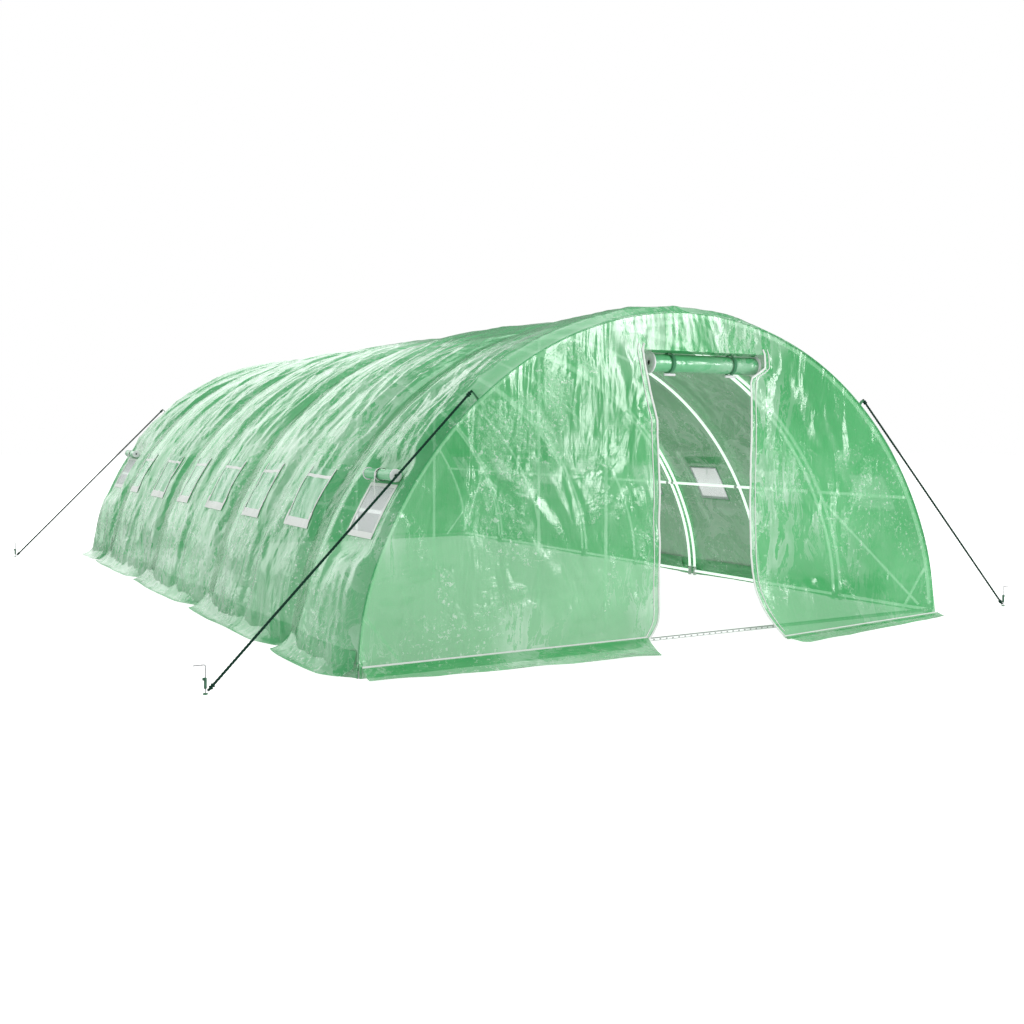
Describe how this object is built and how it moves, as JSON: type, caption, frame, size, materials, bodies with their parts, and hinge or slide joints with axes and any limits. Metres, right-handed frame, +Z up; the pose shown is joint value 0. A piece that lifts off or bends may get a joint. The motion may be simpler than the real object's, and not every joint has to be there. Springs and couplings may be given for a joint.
{
  "type": "tunnel greenhouse",
  "caption": "Walk-in tunnel greenhouse: arched steel tube frame under a green woven film cover, with roll-up door, side windows, guy ropes and pegs.",
  "frame": {"origin": "on the ground at the centre of the footprint", "axes": "+Z up, +Y along the tunnel away from the open front door, +X to the right seen from the front"},
  "size_m": [7, 8.7, 2.3255],
  "materials": {
    "coated_tube": "satin",
    "fitting": "satin",
    "bolt": "satin",
    "film": "woven polyethylene film, translucent",
    "film_roll": "rolled polyethylene film",
    "net": "fine insect mesh",
    "webbing": "woven",
    "rope": "braided",
    "peg": "galvanised"
  },
  "bodies": {
    "root": {"hoop_front": "coated_tube", "hoop_1": "coated_tube", "hoop_2": "coated_tube", "hoop_3": "coated_tube", "hoop_4": "coated_tube", "hoop_5": "coated_tube", "hoop_6": "coated_tube", "hoop_7": "coated_tube", "hoop_rear": "coated_tube", "base_rail_left": "coated_tube", "base_rail_right": "coated_tube", "base_rail_front": "coated_tube", "base_rail_rear": "coated_tube", "purlin_left": "coated_tube", "purlin_right": "coated_tube", "ridge_purlin": "coated_tube", "centre_posts": "coated_tube", "end_braces": "coated_tube", "side_braces": "coated_tube", "feet": "fitting", "purlin_clamps": "fitting", "foot_bolts": "bolt", "clamp_bolts": "bolt", "cover_roof": "film", "cover_left": "film", "cover_right": "film", "front_wall": "film", "rear_wall": "film", "ground_skirts": "film", "window_nets": "net", "window_films": "film", "rear_door_film": "film", "rope_fittings": "webbing", "rope_front_left": "rope", "rope_front_right": "rope", "rope_rear_left": "rope", "rope_rear_right": "rope"},
    "front_door": {"front_door_roll": "film_roll"},
    "rear_door": {"rear_door_bar": "coated_tube"},
    "window_left_1": {"window_roll_left_1": "film_roll"},
    "window_left_2": {"window_bar_left_2": "coated_tube"},
    "window_left_3": {"window_bar_left_3": "coated_tube"},
    "window_left_4": {"window_bar_left_4": "coated_tube"},
    "window_left_5": {"window_bar_left_5": "coated_tube"},
    "window_left_6": {"window_bar_left_6": "coated_tube"},
    "window_left_7": {"window_bar_left_7": "coated_tube"},
    "window_left_8": {"window_roll_left_8": "film_roll"},
    "window_right_1": {"window_roll_right_1": "film_roll"},
    "window_right_2": {"window_roll_right_2": "film_roll"},
    "window_right_3": {"window_roll_right_3": "film_roll"},
    "window_right_4": {"window_roll_right_4": "film_roll"},
    "window_right_5": {"window_roll_right_5": "film_roll"},
    "window_right_6": {"window_roll_right_6": "film_roll"},
    "window_right_7": {"window_roll_right_7": "film_roll"},
    "window_right_8": {"window_roll_right_8": "film_roll"},
    "peg_front_left": {"peg_front_left": "peg"},
    "peg_front_right": {"peg_front_right": "peg"},
    "peg_rear_left": {"peg_rear_left": "peg"},
    "peg_rear_right": {"peg_rear_right": "peg"}
  },
  "joints": [
    {"name": "front_door_unroll", "type": "slide", "parent": "root", "child": "front_door", "axis": [0, 0, -1], "range_m": [0, 1.8]},
    {"name": "rear_door_roll_up", "type": "slide", "parent": "root", "child": "rear_door", "axis": [0, 0, 1], "range_m": [0, 1.9], "deforming": ["rear_door_film"]},
    {"name": "window_left_1_unroll", "type": "slide", "parent": "root", "child": "window_left_1", "axis": [-0.4871, 0, -0.8733], "range_m": [0, 0.36]},
    {"name": "window_left_2_roll_up", "type": "slide", "parent": "root", "child": "window_left_2", "axis": [0.4871, 0, 0.8733], "range_m": [0, 0.36], "deforming": ["window_films"]},
    {"name": "window_left_3_roll_up", "type": "slide", "parent": "root", "child": "window_left_3", "axis": [0.4871, 0, 0.8733], "range_m": [0, 0.36], "deforming": ["window_films"]},
    {"name": "window_left_4_roll_up", "type": "slide", "parent": "root", "child": "window_left_4", "axis": [0.4871, 0, 0.8733], "range_m": [0, 0.36], "deforming": ["window_films"]},
    {"name": "window_left_5_roll_up", "type": "slide", "parent": "root", "child": "window_left_5", "axis": [0.4871, 0, 0.8733], "range_m": [0, 0.36], "deforming": ["window_films"]},
    {"name": "window_left_6_roll_up", "type": "slide", "parent": "root", "child": "window_left_6", "axis": [0.4871, 0, 0.8733], "range_m": [0, 0.36], "deforming": ["window_films"]},
    {"name": "window_left_7_roll_up", "type": "slide", "parent": "root", "child": "window_left_7", "axis": [0.4871, 0, 0.8733], "range_m": [0, 0.36], "deforming": ["window_films"]},
    {"name": "window_left_8_unroll", "type": "slide", "parent": "root", "child": "window_left_8", "axis": [-0.4871, 0, -0.8733], "range_m": [0, 0.36]},
    {"name": "window_right_1_unroll", "type": "slide", "parent": "root", "child": "window_right_1", "axis": [0.4871, 0, -0.8733], "range_m": [0, 0.36]},
    {"name": "window_right_2_unroll", "type": "slide", "parent": "root", "child": "window_right_2", "axis": [0.4871, 0, -0.8733], "range_m": [0, 0.36]},
    {"name": "window_right_3_unroll", "type": "slide", "parent": "root", "child": "window_right_3", "axis": [0.4871, 0, -0.8733], "range_m": [0, 0.36]},
    {"name": "window_right_4_unroll", "type": "slide", "parent": "root", "child": "window_right_4", "axis": [0.4871, 0, -0.8733], "range_m": [0, 0.36]},
    {"name": "window_right_5_unroll", "type": "slide", "parent": "root", "child": "window_right_5", "axis": [0.4871, 0, -0.8733], "range_m": [0, 0.36]},
    {"name": "window_right_6_unroll", "type": "slide", "parent": "root", "child": "window_right_6", "axis": [0.4871, 0, -0.8733], "range_m": [0, 0.36]},
    {"name": "window_right_7_unroll", "type": "slide", "parent": "root", "child": "window_right_7", "axis": [0.4871, 0, -0.8733], "range_m": [0, 0.36]},
    {"name": "window_right_8_unroll", "type": "slide", "parent": "root", "child": "window_right_8", "axis": [0.4871, 0, -0.8733], "range_m": [0, 0.36]},
    {"name": "peg_front_left_drive", "type": "slide", "parent": "root", "child": "peg_front_left", "axis": [0, 0, -1], "range_m": [0, 0.13]},
    {"name": "peg_front_right_drive", "type": "slide", "parent": "root", "child": "peg_front_right", "axis": [0, 0, -1], "range_m": [0, 0.13]},
    {"name": "peg_rear_left_drive", "type": "slide", "parent": "root", "child": "peg_rear_left", "axis": [0, 0, -1], "range_m": [0, 0.13]},
    {"name": "peg_rear_right_drive", "type": "slide", "parent": "root", "child": "peg_rear_right", "axis": [0, 0, -1], "range_m": [0, 0.13]}
  ]
}
